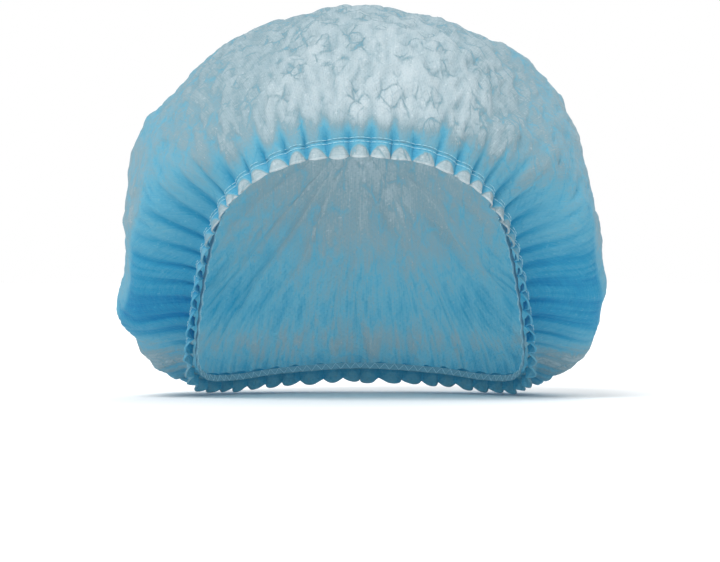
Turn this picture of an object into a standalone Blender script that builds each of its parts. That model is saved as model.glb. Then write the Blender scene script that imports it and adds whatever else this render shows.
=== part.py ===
"""A gathered non-woven cap in its worn form, in metres with +Z up.

The cap faces -Y and its back is at +Y. The origin is the inner side of the
crown's highest point. The cap is three pieces: the crown, a hollow bag of thin
pleated cloth; the hem, a ruffle of turned-over cloth round the opening; and the
elastic, a loop on the inner side of the gathers.

Every piece follows one closed curve, the edge line. Columns run from that line
to a pole at the upper back, so each gather stands square to the edge.
"""

import math

import bmesh
import bpy
import numpy as np

# The bag of the crown, measured from its middle at the widest level
CROWN_HALF_WIDTH = 0.1115
CROWN_RISE = 0.1120
CROWN_DROP = 0.0790
CROWN_FRONT_REACH = 0.1080
CROWN_BACK_REACH = 0.1120
CROWN_MIDDLE_BACK = 0.0080
POLE_LIFT_DEGREES = 32.0

# How full the bag's outline is: 2 is an ellipse, more is boxier. It turns from
# one to the other over this share of a right angle below the widest level.
FULLNESS_ABOVE = 2.12
FULLNESS_BELOW = 3.2
FULLNESS_TURN = 0.40

# The opening, from the origin to the line of the elastic
OPENING_HALF_WIDTH = 0.0760
OPENING_FRONT = 0.0880
OPENING_BACK = 0.0750
OPENING_DROP = 0.1720
OPENING_SIDE_SHIFT = -0.0015

# The cloth and its gathers
CLOTH_WALL = 0.0012
GATHER_PITCH = 0.0096
GATHER_DEPTH = 0.0018
CELL_DEPTH = 0.0024
FOLD_VARIATION = 0.35
CELL_VARIATION = 0.55
PUFF_HEIGHT = 0.0050
ROLL_WIDTH = 0.0110

# The hem and the elastic
HEM_WALL = 0.0015
HEM_LENGTH = 0.0084
HEM_FLARE_DEGREES = 14.0
SCALLOP_DEPTH = 0.0011
ELASTIC_WIDTH = 0.0030
ELASTIC_THICKNESS = 0.0008
CLEARANCE = 0.0003

# How finely the forms are drawn
COLUMNS_PER_GATHER = 2
HEM_COLUMNS_PER_GATHER = 4
ELASTIC_STEPS_PER_GATHER = 2
EDGE_SAMPLES = 2400
FEWEST_GATHERS = 12

# The level that the cloth at the edge faces away from, as a share of
# OPENING_DROP, and how strongly the edge holds the folds square to it
EDGE_FACING_LEVEL = 0.55
EDGE_HOLD = 3.0

# How the folds' heights come and go: waves round the whole edge for the
# gathers, and turns in radians for each column and row of the pleat cells
GATHER_BEATS = {"slow": 5.0, "quick": 13.0, "start": 1.0}
CELL_BEATS = [
    {"column": 2.399, "row": 1.7, "start": 0.0},
    {"column": 0.731, "row": -4.1, "start": 0.6},
]

# Half of the edge line, front to back. across: share of OPENING_HALF_WIDTH.
# along: share of OPENING_FRONT where negative, of OPENING_BACK where positive.
# down: share of OPENING_DROP. hem: share of HEM_LENGTH.
EDGE_LINE = [
    {"across": 0.000, "along": -1.000, "down": 0.375, "hem": 1.00},
    {"across": 0.316, "along": -0.977, "down": 0.392, "hem": 1.00},
    {"across": 0.500, "along": -0.920, "down": 0.421, "hem": 0.97},
    {"across": 0.658, "along": -0.818, "down": 0.466, "hem": 0.92},
    {"across": 0.770, "along": -0.688, "down": 0.524, "hem": 0.87},
    {"across": 0.849, "along": -0.545, "down": 0.590, "hem": 0.83},
    {"across": 0.908, "along": -0.398, "down": 0.680, "hem": 0.80},
    {"across": 0.954, "along": -0.239, "down": 0.779, "hem": 0.78},
    {"across": 0.987, "along": -0.057, "down": 0.872, "hem": 0.76},
    {"across": 1.000, "along": 0.147, "down": 0.948, "hem": 0.75},
    {"across": 0.954, "along": 0.387, "down": 0.994, "hem": 0.75},
    {"across": 0.789, "along": 0.667, "down": 1.000, "hem": 0.78},
    {"across": 0.474, "along": 0.907, "down": 0.983, "hem": 0.82},
    {"across": 0.000, "along": 1.000, "down": 0.971, "hem": 0.85},
]

# Puffs and dents of the bag. round: degrees from the front, + to the right.
# lift: degrees above the widest level. spread: degrees. height: share of
# PUFF_HEIGHT, negative for a dent.
PUFFS = [
    {"round": -90, "lift": 26, "spread": 13, "height": 0.45},
    {"round": -90, "lift": -14, "spread": 6, "height": 1.00},
    {"round": -88, "lift": -25, "spread": 4, "height": -0.30},
    {"round": -90, "lift": -34, "spread": 6, "height": 1.30},
    {"round": -90, "lift": 76, "spread": 7, "height": -0.25},
    {"round": 90, "lift": 53, "spread": 9, "height": 0.35},
    {"round": 90, "lift": 76, "spread": 8, "height": -0.40},
    {"round": 90, "lift": 22, "spread": 12, "height": -0.50},
    {"round": 90, "lift": -12, "spread": 7, "height": 0.30},
    {"round": 88, "lift": -27, "spread": 8, "height": 0.50},
    {"round": -42, "lift": 48, "spread": 11, "height": -0.50},
    {"round": -18, "lift": 62, "spread": 9, "height": 0.45},
    {"round": 22, "lift": 50, "spread": 12, "height": 0.40},
    {"round": 48, "lift": 38, "spread": 9, "height": -0.45},
    {"round": -62, "lift": 12, "spread": 10, "height": 0.45},
    {"round": 64, "lift": 6, "spread": 9, "height": 0.50},
    {"round": 180, "lift": 4, "spread": 24, "height": 0.60},
    {"round": 150, "lift": 30, "spread": 14, "height": -0.50},
    {"round": -146, "lift": 22, "spread": 13, "height": -0.45},
    {"round": 138, "lift": -22, "spread": 12, "height": 0.60},
    {"round": -136, "lift": -24, "spread": 13, "height": 0.55},
]

# The rows of the crown from the edge to the pole. way: share of the way.
# gather: share of GATHER_DEPTH. cell: share of CELL_DEPTH, whose sign turns at
# each row so that the pleat cells stand staggered like bricks.
CROWN_ROWS = [
    {"way": 0.000, "gather": 0.80, "cell": 0.0},
    {"way": 0.016, "gather": 1.00, "cell": 0.0},
    {"way": 0.050, "gather": 1.00, "cell": 0.0},
    {"way": 0.100, "gather": 0.80, "cell": 0.2},
    {"way": 0.155, "gather": 0.50, "cell": -0.6},
    {"way": 0.212, "gather": 0.30, "cell": 0.9},
    {"way": 0.270, "gather": 0.20, "cell": -1.0},
    {"way": 0.328, "gather": 0.15, "cell": 1.0},
    {"way": 0.386, "gather": 0.12, "cell": -1.0},
    {"way": 0.444, "gather": 0.10, "cell": 1.0},
    {"way": 0.502, "gather": 0.10, "cell": -1.0},
    {"way": 0.562, "gather": 0.10, "cell": 0.9},
    {"way": 0.624, "gather": 0.10, "cell": -0.8},
    {"way": 0.690, "gather": 0.10, "cell": 0.6},
    {"way": 0.762, "gather": 0.10, "cell": -0.4},
    {"way": 0.840, "gather": 0.05, "cell": 0.2},
    {"way": 0.920, "gather": 0.00, "cell": 0.0},
]


def unit(vectors):
    """The vectors of an array, each brought to length one."""
    lengths = np.linalg.norm(vectors, axis=-1, keepdims=True)
    return vectors / np.maximum(lengths, 1e-12)


def crown_middle():
    """The middle of the bag, from which its radius is measured."""
    return np.array([0.0, CROWN_MIDDLE_BACK, -CROWN_RISE])


def pole_direction():
    """The direction in which all columns of the crown meet."""
    lift = math.radians(POLE_LIFT_DEGREES)
    return np.array([0.0, math.cos(lift), math.sin(lift)])


def edge_control_points():
    """The edge line's own points and hem lengths, right half and mirrored left."""
    right = []
    for row in EDGE_LINE:
        reach = OPENING_FRONT if row["along"] < 0.0 else OPENING_BACK
        across = row["across"] * OPENING_HALF_WIDTH
        right.append((across, row["along"] * reach, -row["down"] * OPENING_DROP, row["hem"] * HEM_LENGTH))
    left = [(-across, along, down, hem) for across, along, down, hem in reversed(right[1:-1])]
    points = np.array(right + left)
    points[:, 0] += OPENING_SIDE_SHIFT
    return points


def closed_spline(points, samples):
    """A smooth closed curve through the points, at even steps of length."""
    count = len(points)
    steps = np.arange(samples) * count / samples
    index = np.floor(steps).astype(int)
    t = (steps - index)[:, None]
    before = points[(index - 1) % count]
    start = points[index % count]
    end = points[(index + 1) % count]
    after = points[(index + 2) % count]
    slope_in = (end - before) / 2.0
    slope_out = (after - start) / 2.0
    curve = (
        start * (2 * t**3 - 3 * t**2 + 1)
        + slope_in * (t**3 - 2 * t**2 + t)
        + end * (-2 * t**3 + 3 * t**2)
        + slope_out * (t**3 - t**2)
    )
    return curve


def even_steps(curve, count):
    """Count points at even steps of length along a closed curve."""
    loop = np.vstack([curve, curve[:1]])
    travelled = lengths_along(loop)
    wanted = np.arange(count) * travelled[-1] / count
    columns = [np.interp(wanted, travelled, loop[:, axis]) for axis in range(loop.shape[1])]
    return np.stack(columns, axis=1)


def lengths_along(loop):
    """The length travelled to each point of a line, from its first three columns."""
    steps = np.linalg.norm(np.diff(loop[:, :3], axis=0), axis=1)
    return np.concatenate([[0.0], np.cumsum(steps)])


def edge_length():
    """The whole length of the edge line."""
    curve = closed_spline(edge_control_points(), EDGE_SAMPLES)
    return float(lengths_along(np.vstack([curve, curve[:1]]))[-1])


def gather_count():
    """The number of gathers that the edge line takes at their pitch."""
    return max(FEWEST_GATHERS, round(edge_length() / GATHER_PITCH))


def edge_frame(count):
    """Points of the edge line, the directions out and off it, and hem lengths.

    Out points away from the cap's inside. Off points across the opening's edge,
    away from the crown, which is where the hem goes.
    """
    curve = closed_spline(edge_control_points(), EDGE_SAMPLES)
    stepped = even_steps(curve, count)
    points = stepped[:, :3]
    along = unit(np.roll(points, -1, axis=0) - np.roll(points, 1, axis=0))
    middle = np.array([0.0, 0.0, -EDGE_FACING_LEVEL * OPENING_DROP])
    spans = np.array([OPENING_HALF_WIDTH, OPENING_FRONT, OPENING_DROP])
    out = (points - middle) / spans**2
    out = out - along * np.sum(out * along, axis=1, keepdims=True)
    out = unit(out)
    off = unit(np.cross(along, out))
    return points, out, off, stepped[:, 3]


def cloth_offset():
    """How far the cloth's middle line lies outside the elastic's middle line."""
    return ELASTIC_THICKNESS / 2 + CLEARANCE + HEM_WALL / 2 + GATHER_DEPTH


def gather_wave(count, columns_per_gather):
    """The gathers' wave, one value for each column, from -1 to 1.

    Its height rises and falls slowly round the edge, so no two folds are alike.
    """
    turns = np.arange(count) / columns_per_gather
    round_edge = 2.0 * math.pi * np.arange(count) / count
    slow = np.sin(GATHER_BEATS["slow"] * round_edge + GATHER_BEATS["start"])
    beat = 0.5 + 0.5 * slow * np.cos(GATHER_BEATS["quick"] * round_edge)
    return np.cos(2.0 * math.pi * turns) * (1.0 - FOLD_VARIATION * beat)


def puff_heights(directions):
    """The height of all puffs and dents in each direction."""
    total = np.zeros(directions.shape[:-1])
    for puff in PUFFS:
        turn = math.radians(puff["round"])
        lift = math.radians(puff["lift"])
        level = math.cos(lift)
        peak = np.array([level * math.sin(turn), -level * math.cos(turn), math.sin(lift)])
        apart = np.arccos(np.clip(directions @ peak, -1.0, 1.0))
        total = total + puff["height"] * np.exp(-((apart / math.radians(puff["spread"])) ** 2))
    return PUFF_HEIGHT * total


def bag_radius(directions):
    """The radius of the bag in each direction, with its puffs and dents."""
    x = np.abs(directions[..., 0]) / CROWN_HALF_WIDTH
    reach = np.where(directions[..., 1] < 0.0, CROWN_FRONT_REACH, CROWN_BACK_REACH)
    y = np.abs(directions[..., 1]) / reach
    above = directions[..., 2] >= 0.0
    z = np.abs(directions[..., 2]) / np.where(above, CROWN_RISE, CROWN_DROP)
    below = np.clip(-directions[..., 2] / FULLNESS_TURN, 0.0, 1.0)
    below = below**2 * (3.0 - 2.0 * below)
    power = FULLNESS_ABOVE + (FULLNESS_BELOW - FULLNESS_ABOVE) * below
    radius = (x**power + y**power + z**power) ** (-1.0 / power)
    return radius + puff_heights(directions)


def bag_surface(columns, ways):
    """The smooth bag as a grid: a row for each way, a column for each gather step.

    Each column leaves the edge line square to it and then swells out to the bag
    within a few roll widths, while its direction turns towards the pole. The
    second grid is the pull that holds the folds square to the edge line.
    """
    points, out, off, _ = edge_frame(columns)
    middle = crown_middle()
    start = points + out * cloth_offset() - middle
    first = unit(start)
    pole = pole_direction()
    turn = np.arccos(np.clip(first @ pole, -1.0, 1.0))
    ways = np.asarray(ways)[:, None]
    directions = (
        np.sin((1.0 - ways) * turn)[..., None] * first[None] + np.sin(ways * turn)[..., None] * pole
    ) / np.sin(turn)[None, :, None]
    directions = unit(directions)
    bag = middle + directions * bag_radius(directions)[..., None]
    travelled = ways * turn[None] * CROWN_HALF_WIDTH
    near = np.exp(-((travelled / ROLL_WIDTH) ** 2))[..., None]
    straight = (middle + start)[None] - off[None] * travelled[..., None]
    surface = near * straight + (1.0 - near) * bag
    return surface, near * out[None]


def grid_normals(grid):
    """The direction out of a closed band of points, rows by columns."""
    across = np.roll(grid, -1, axis=1) - np.roll(grid, 1, axis=1)
    up = np.gradient(grid, axis=0)
    return unit(np.cross(across, up))


def uneven_cells(rows, columns):
    """A share for each cell, so that some puffs stand full and others lie flat."""
    row = np.arange(rows)[:, None]
    column = np.arange(columns)[None]
    beats = [np.sin(beat["column"] * column + beat["row"] * row + beat["start"]) for beat in CELL_BEATS]
    return 1.0 - CELL_VARIATION * (0.5 + 0.5 * sum(beats) / len(beats))


def fold_room(grid):
    """The share of its full height that a fold has room for, by its width."""
    widths = np.linalg.norm(np.roll(grid, -1, axis=1) - np.roll(grid, 1, axis=1), axis=2)
    return np.minimum(1.0, widths * COLUMNS_PER_GATHER / (2.0 * GATHER_PITCH))


def crown_grid():
    """The crown's cloth with its folds and staggered pleat cells, and their heights."""
    columns = gather_count() * COLUMNS_PER_GATHER
    base, edge_pull = bag_surface(columns, [row["way"] for row in CROWN_ROWS])
    normals = unit(grid_normals(base) + EDGE_HOLD * edge_pull)
    wave = gather_wave(columns, COLUMNS_PER_GATHER)
    gather = np.array([row["gather"] for row in CROWN_ROWS]) * GATHER_DEPTH
    cell = np.array([row["cell"] for row in CROWN_ROWS]) * CELL_DEPTH
    cells = cell[:, None] * uneven_cells(len(CROWN_ROWS), columns)
    heights = (gather[:, None] + cells) * wave[None] * fold_room(base)
    return base + normals * heights[..., None], heights


def new_object(name, mesh_data, material, collection):
    """An object from a bmesh, shaded smooth, in the cap's collection."""
    mesh = bpy.data.meshes.new(name)
    mesh_data.to_mesh(mesh)
    mesh_data.free()
    mesh.materials.append(material)
    mesh.shade_smooth()
    created = bpy.data.objects.new(name, mesh)
    collection.objects.link(created)
    return created


def fold_faces(mesh_data, rows, heights):
    """Triangles between neighbouring closed rows, split along the higher diagonal.

    Both sides of the wall then share the same ridges, so they never cross.
    """
    for row in range(len(rows) - 1):
        lower, upper = rows[row], rows[row + 1]
        for column in range(len(lower)):
            after = (column + 1) % len(lower)
            corners = (lower[column], lower[after], upper[after], upper[column])
            rising = heights[row, column] + heights[row + 1, after]
            falling = heights[row, after] + heights[row + 1, column]
            turn = 0 if rising > falling else 1
            first, second, third, fourth = corners[turn:] + corners[:turn]
            mesh_data.faces.new((first, second, third))
            mesh_data.faces.new((first, third, fourth))


def make_crown(collection, material):
    """The bag of the crown, an open surface given its wall by Solidify."""
    grid, heights = crown_grid()
    mesh_data = bmesh.new()
    rows = [[mesh_data.verts.new(point) for point in row] for row in grid]
    fold_faces(mesh_data, rows, heights)
    pole = pole_direction()
    tip = mesh_data.verts.new(crown_middle() + pole * float(bag_radius(pole)))
    last = rows[-1]
    for column in range(len(last)):
        mesh_data.faces.new((last[column], last[(column + 1) % len(last)], tip))
    crown = new_object("crown", mesh_data, material, collection)
    wall = crown.modifiers.new("cloth wall", "SOLIDIFY")
    wall.thickness = CLOTH_WALL
    wall.offset = 0.0
    wall.use_rim = True
    return crown


def hem_section(fall):
    """The hem's four corners, each a distance off the edge and a distance out."""
    flare = math.radians(HEM_FLARE_DEGREES)
    top = CLOTH_WALL / 2 + CLEARANCE
    corners = []
    for down, side in ((0.0, 0.5), (fall, 0.5), (fall, -0.5), (0.0, -0.5)):
        corners.append((top + down * math.cos(flare), side * HEM_WALL + down * math.sin(flare)))
    return corners


def make_ring(name, sections, collection, material):
    """A closed ring from one four-cornered section at each step round it."""
    mesh_data = bmesh.new()
    ring = [[mesh_data.verts.new(corner) for corner in section] for section in sections]
    for column, here in enumerate(ring):
        after = ring[(column + 1) % len(ring)]
        for corner in range(4):
            beside = (corner + 1) % 4
            mesh_data.faces.new((here[corner], here[beside], after[beside], after[corner]))
    bmesh.ops.recalc_face_normals(mesh_data, faces=mesh_data.faces[:])
    return new_object(name, mesh_data, material, collection)


def make_hem(collection, material):
    """The ruffle: a closed band that waves with the gathers, scalloped below."""
    count = gather_count() * HEM_COLUMNS_PER_GATHER
    points, out, off, lengths = edge_frame(count)
    wave = gather_wave(count, HEM_COLUMNS_PER_GATHER)
    first = CROWN_ROWS[0]["gather"]
    sections = []
    for column in range(count):
        fall = lengths[column] + SCALLOP_DEPTH * (wave[column] - 1.0) / 2
        depths = (first, 1.0, 1.0, first)
        section = []
        for depth, (down, outward) in zip(depths, hem_section(fall)):
            shift = cloth_offset() + outward + depth * GATHER_DEPTH * wave[column]
            section.append(points[column] + off[column] * down + out[column] * shift)
        sections.append(section)
    return make_ring("hem", sections, collection, material)


def make_elastic(collection, material):
    """The elastic loop: a flat band along the edge line, inside the gathers."""
    points, out, off, _ = edge_frame(gather_count() * ELASTIC_STEPS_PER_GATHER)
    sections = []
    for point, outward, downward in zip(points, out, off):
        section = []
        for down, side in ((-0.5, 0.5), (0.5, 0.5), (0.5, -0.5), (-0.5, -0.5)):
            section.append(point + downward * down * ELASTIC_WIDTH + outward * side * ELASTIC_THICKNESS)
        sections.append(section)
    return make_ring("elastic", sections, collection, material)


def make_material(name, colour, roughness):
    """A plain matt material of one colour."""
    material = bpy.data.materials.new(name)
    material.use_nodes = True
    shader = material.node_tree.nodes["Principled BSDF"]
    shader.inputs["Base Color"].default_value = (*colour, 1.0)
    shader.inputs["Roughness"].default_value = roughness
    shader.inputs["Metallic"].default_value = 0.0
    material.diffuse_color = (*colour, 1.0)
    return material


def crown_material():
    """Pale blue non-woven cloth."""
    return make_material("pale blue cloth", (0.33, 0.61, 0.74), 0.85)


def hem_material():
    """The same cloth in two plies, a little deeper in colour."""
    return make_material("doubled blue cloth", (0.13, 0.45, 0.67), 0.85)


def elastic_material():
    """White covered rubber thread."""
    return make_material("white elastic", (0.78, 0.86, 0.90), 0.60)


def clear_scene():
    """Removes whatever the open file holds."""
    for old in list(bpy.data.objects):
        bpy.data.objects.remove(old, do_unlink=True)


def main():
    """Builds the cap's three pieces in their own collection."""
    clear_scene()
    collection = bpy.data.collections.new("nurse_cap")
    bpy.context.scene.collection.children.link(collection)
    make_crown(collection, crown_material())
    make_hem(collection, hem_material())
    make_elastic(collection, elastic_material())


main()
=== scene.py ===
"""Nurse cap: a pleated non-woven cap in its worn form, with its stage.

The cap is a bag of thin pale blue cloth drawn in by an elastic, with a ruffled
hem round its opening. It faces -Y, its back is at +Y, and the origin is the
inner side of the crown's highest point. All lengths are in metres.

Run as a script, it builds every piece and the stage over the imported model. Each
piece is an operator, and the panel in the 3D view's sidebar lists them with the
sizes and colours that they read.
"""

import math

import bpy
import numpy as np
from bpy.props import FloatProperty, FloatVectorProperty, IntProperty, PointerProperty
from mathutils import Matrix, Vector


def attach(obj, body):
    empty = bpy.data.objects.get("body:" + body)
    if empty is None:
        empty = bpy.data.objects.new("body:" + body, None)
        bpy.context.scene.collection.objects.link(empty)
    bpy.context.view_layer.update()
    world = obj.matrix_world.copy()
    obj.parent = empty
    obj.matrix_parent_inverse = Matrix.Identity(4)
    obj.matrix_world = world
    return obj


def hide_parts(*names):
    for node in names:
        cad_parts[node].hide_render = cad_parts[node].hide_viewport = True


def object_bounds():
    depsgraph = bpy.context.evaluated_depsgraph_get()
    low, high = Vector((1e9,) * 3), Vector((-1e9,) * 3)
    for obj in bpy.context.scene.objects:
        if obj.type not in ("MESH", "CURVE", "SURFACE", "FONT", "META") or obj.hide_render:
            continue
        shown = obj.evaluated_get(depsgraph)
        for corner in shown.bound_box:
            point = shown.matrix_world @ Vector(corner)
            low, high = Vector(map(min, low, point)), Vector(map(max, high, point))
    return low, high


bl_info = {
    "name": "Nurse Cap",
    "version": (1, 0, 0),
    "blender": (4, 5, 0),
    "location": "View3D > Sidebar > Nurse Cap",
    "description": "Pleated non-woven cap with a ruffled hem, its elastic and a stage",
    "category": "Add Mesh",
}

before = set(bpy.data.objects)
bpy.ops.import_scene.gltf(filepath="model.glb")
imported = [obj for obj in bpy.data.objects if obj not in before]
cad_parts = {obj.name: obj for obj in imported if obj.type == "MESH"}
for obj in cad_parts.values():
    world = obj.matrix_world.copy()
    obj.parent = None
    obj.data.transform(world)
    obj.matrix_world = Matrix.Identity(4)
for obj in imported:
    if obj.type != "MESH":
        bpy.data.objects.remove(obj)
CAD_BOX = [list(corner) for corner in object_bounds()]
CAD_FLOOR = CAD_BOX[0][2]
BODY = "root"

# Half of the edge line, front to back, in four columns. across: share of the opening's half
# width. along: share of its front reach where negative, of its back reach where
# positive. down: share of its drop. hem: share of the hem's length.
EDGE_LINE = np.array(
    [
        (0.000, -1.000, 0.375, 1.00),
        (0.316, -0.977, 0.392, 1.00),
        (0.500, -0.920, 0.421, 0.97),
        (0.658, -0.818, 0.466, 0.92),
        (0.770, -0.688, 0.524, 0.87),
        (0.849, -0.545, 0.590, 0.83),
        (0.908, -0.398, 0.680, 0.80),
        (0.954, -0.239, 0.779, 0.78),
        (0.987, -0.057, 0.872, 0.76),
        (1.000, 0.147, 0.948, 0.75),
        (0.954, 0.387, 0.994, 0.75),
        (0.789, 0.667, 1.000, 0.78),
        (0.474, 0.907, 0.983, 0.82),
        (0.000, 1.000, 0.971, 0.85),
    ]
)

# Puffs and dents of the bag, in four columns. round: degrees from the front, + to the right.
# lift: degrees above the widest level. spread: degrees. height: share of the
# puff height, negative for a dent.
PUFFS = [
    (-90, 26, 13, 0.45),
    (-90, -14, 6, 1.00),
    (-88, -25, 4, -0.30),
    (-90, -34, 6, 1.30),
    (-90, 76, 7, -0.25),
    (90, 53, 9, 0.35),
    (90, 76, 8, -0.40),
    (90, 22, 12, -0.50),
    (90, -12, 7, 0.30),
    (88, -27, 8, 0.50),
    (-42, 48, 11, -0.50),
    (-18, 62, 9, 0.45),
    (22, 50, 12, 0.40),
    (48, 38, 9, -0.45),
    (-62, 12, 10, 0.45),
    (64, 6, 9, 0.50),
    (180, 4, 24, 0.60),
    (150, 30, 14, -0.50),
    (-146, 22, 13, -0.45),
    (138, -22, 12, 0.60),
    (-136, -24, 13, 0.55),
]

# From the elastic's middle to the cloth's valleys: half of the elastic, the gap
# and half of the hem's wall
ELASTIC_TO_CLOTH = 0.0004 + 0.0003 + 0.00075

# The depth of the cloth's colour by height, 0 pale to 1 deep: metres below the
# origin against depth, for the sides of the bag. It deepens downwards where the
# gathers stack, and pales again at the lowest lobes as painted light coming
# through them from behind
SIDE_LEVELS = (0.000, 0.030, 0.056, 0.080, 0.107, 0.121, 0.140, 0.150, 0.162, 0.175)
SIDE_DEPTHS = (0.30, 0.39, 0.48, 0.55, 0.66, 0.75, 0.82, 0.62, 0.16, 0.05)

# Where each kind of fold starts and where it is whole, in metres of cloth from the elastic
STARTS = {
    "wander": (0.004, 0.050),
    "lasting": (0.000, 0.020),
    "branches": (0.001, 0.006),
    "pleats": (0.005, 0.022),
    "drapes": (0.008, 0.030),
    "facets": (0.015, 0.060),
}

# Levels below the origin between which a trait of the cloth sets in, and the stretch
# behind the origin over which the back begins, in metres
LEVELS = {
    "low": (0.070, 0.150),
    "lowest": (0.146, 0.166),
    "hem low": (0.080, 0.130),
    "hem lowest": (0.146, 0.164),
}
BACK_SPAN = (0.000, 0.050)

# The length of cloth over which each kind of fold or colour dies away, in metres
FADES = {"lasting": 0.030, "cells": 0.070, "fine pleats": 0.120, "crumples": 0.100, "band": 0.018}

# Long bends of the cloth: how many go round the cap, and the length of cloth that one
# takes, in metres
BENDS = {"wander": (30, 0.026), "drapes": (36, 0.100), "lean": (15, 0.040)}

# What each kind of chance adds to the cloth's seed
CHANCE = {
    "wander": 40,
    "reach": 41,
    "spikes": 42,
    "hem": 43,
    "fine pleats": 44,
    "blotches": 45,
    "widths": 50,
    "cells": 60,
    "drapes": 70,
    "crumples": 80,
    "facets": 90,
    "lean": 95,
}

# The length of cloth that leaves the elastic square to it, and the number of points
# on the edge line's curve
SQUARE_REACH = 0.011
EDGE_SAMPLES = 2400

# How far the gathers run up the crown, how much less low on the cap, and how far
# their lap runs. Then the heights of the folds that have no property of their own
GATHER_REACH = 0.0115
LOW_REACH_LOSS = 0.0015
LAP_REACH = 0.016
BRANCH_DEPTH = 0.00075
FACET_DEPTH = 0.0030
LEAN_DEPTH = 0.0013
HEM_BRANCH_DEPTH = 0.00035
HEM_LEAN_DEPTH = 0.0010
ELASTIC_RIPPLE = 0.00025

# The crown's colour pales round two ways out from the bag's centre, one over the front
# of the crown and one at the back. The front one is partly painted light, where the
# cloth faces the front and the key light, and partly the flatter cloth with fewer plies
BAG_CENTRE = (0.0, 0.0, -0.112)
PALE_FRONT = (0.05, -0.84, 0.54)
PALE_BACK = (0.0, 0.90, 0.30)
PALE_SPREAD = math.radians(50.0)

# The rise of the deeper band over the elastic, and how much more it is low on the cap
BAND_RISE = 0.0090
LOW_BAND_RISE = 0.0070

# The width of a blotch of the crown's colour, and the height of a whole crease
BLOTCH_SIZE = 0.018
CREASE_HEIGHT = 0.0011

# Noise on the crown's flat cut comes round after this many steps, far past its edge
FLAT_WRAP = 256

# The distance of each outer row of stitches from the elastic's middle
STITCH_ROW_ASIDE = 0.0009

# From one point of the elastic's section to the next on its texture map
SECTION_STEP = 0.0003

# How much light the cloth lets through, as one ply and as two
THROUGH_ONE_PLY = 0.42
THROUGH_TWO_PLIES = 0.30

WHITE = (1.0, 1.0, 1.0, 1.0)


def metres(name, description, default, **limits):
    """A length property."""
    kind = {"subtype": "DISTANCE", "unit": "LENGTH", "precision": 4}
    return FloatProperty(name=name, description=description, default=default, **kind, **limits)


def colour(name, description, default):
    """A colour property, in linear light."""
    return FloatVectorProperty(
        name=name, description=description, default=default, subtype="COLOR", size=3, min=0.0, max=1.0
    )


def degrees(name, description, default):
    """An angle property, from its default in degrees."""
    kind = {"subtype": "ANGLE", "unit": "ROTATION"}
    return FloatProperty(name=name, description=description, default=math.radians(default), **kind)


def number(name, description, default, least):
    """A whole number property."""
    return IntProperty(name=name, description=description, default=default, min=least)


def strength(name, description, default):
    """The strength of a light."""
    return FloatProperty(name=name, description=description, default=default, min=0.0)


class NurseCapShape(bpy.types.PropertyGroup):
    """The cap's form: the bag of the crown, the opening and the gathers."""

    half_width: metres("Crown half width", "From the bag's middle to its widest point", 0.1115)
    rise: metres("Crown rise", "From the widest level to the top", 0.1120)
    drop: metres("Crown drop", "From the widest level to the lowest point of the bag", 0.0790)
    front_reach: metres("Front reach", "From the bag's middle to its front", 0.1080)
    back_reach: metres("Back reach", "From the bag's middle to its back", 0.1120)
    middle_back: metres("Middle set back", "How far the bag's middle lies behind the origin", 0.0080)
    pole_lift: degrees("Pole lift", "How high the columns of the cloth meet, at the back", 32.0)
    opening_half_width: metres("Opening half width", "Half of the elastic line's width", 0.0760)
    opening_front: metres("Opening front", "From the origin to the front of the elastic line", 0.0880)
    opening_back: metres("Opening back", "From the origin to the back of the elastic line", 0.0750)
    opening_drop: metres("Opening drop", "From the origin down to the lowest elastic", 0.1720)
    opening_shift: metres("Opening side shift", "How far the opening lies to the right", -0.0015)
    gather_pitch: metres("Gather pitch", "From one gather to the next", 0.0096, min=0.002)
    puff_height: metres("Puff height", "How high the bag's puffs stand", 0.0050)


class NurseCapCloth(bpy.types.PropertyGroup):
    """The folds and creases of the cloth, and the pieces at its edge."""

    gather_depth: metres("Gather depth", "Half of the height of a gather at the elastic", 0.0016)
    cell_depth: metres("Pleat cell depth", "Height of the short staggered pleats of the crown", 0.0015)
    cell_length: metres("Pleat cell length", "Length of one staggered pleat", 0.0130, min=0.002)
    pleat_depth: metres("Fine pleat depth", "Height of the fine pleats at the sides", 0.00075)
    drape_depth: metres("Drape depth", "Height of the long folds at the back and sides", 0.0022)
    crumple_depth: metres("Crumple depth", "Height of the widest crumples", 0.0017)
    crumple_size: metres("Crumple size", "Width of the widest crumples", 0.0220, min=0.004)
    hem_length: metres("Hem length", "From the elastic line to the hem's edge at the front", 0.0084)
    hem_flare: degrees("Hem flare", "How far the hem turns outwards", 14.0)
    scallop_depth: metres("Scallop depth", "How far a scallop stands past the gaps", 0.0016)
    ply_gap: metres("Ply gap", "Between the two plies of the hem", 0.0006)
    elastic_width: metres("Elastic width", "Width of the elastic band", 0.0030)
    elastic_thickness: metres("Elastic thickness", "Thickness of the elastic band", 0.0008)
    thread_width: metres("Thread width", "Width of the stitching thread", 0.00036)
    stitches_per_gather: number("Stitches a gather", "Stitches along one gather", 4, 1)
    columns_per_gather: number("Columns a gather", "Columns of the crown along one gather", 12, 4)
    crown_rows: number("Crown rows", "Rows of the crown from the edge to the pole", 132, 20)
    seed: number("Seed", "Start of the folds' chance", 7, 0)


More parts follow.
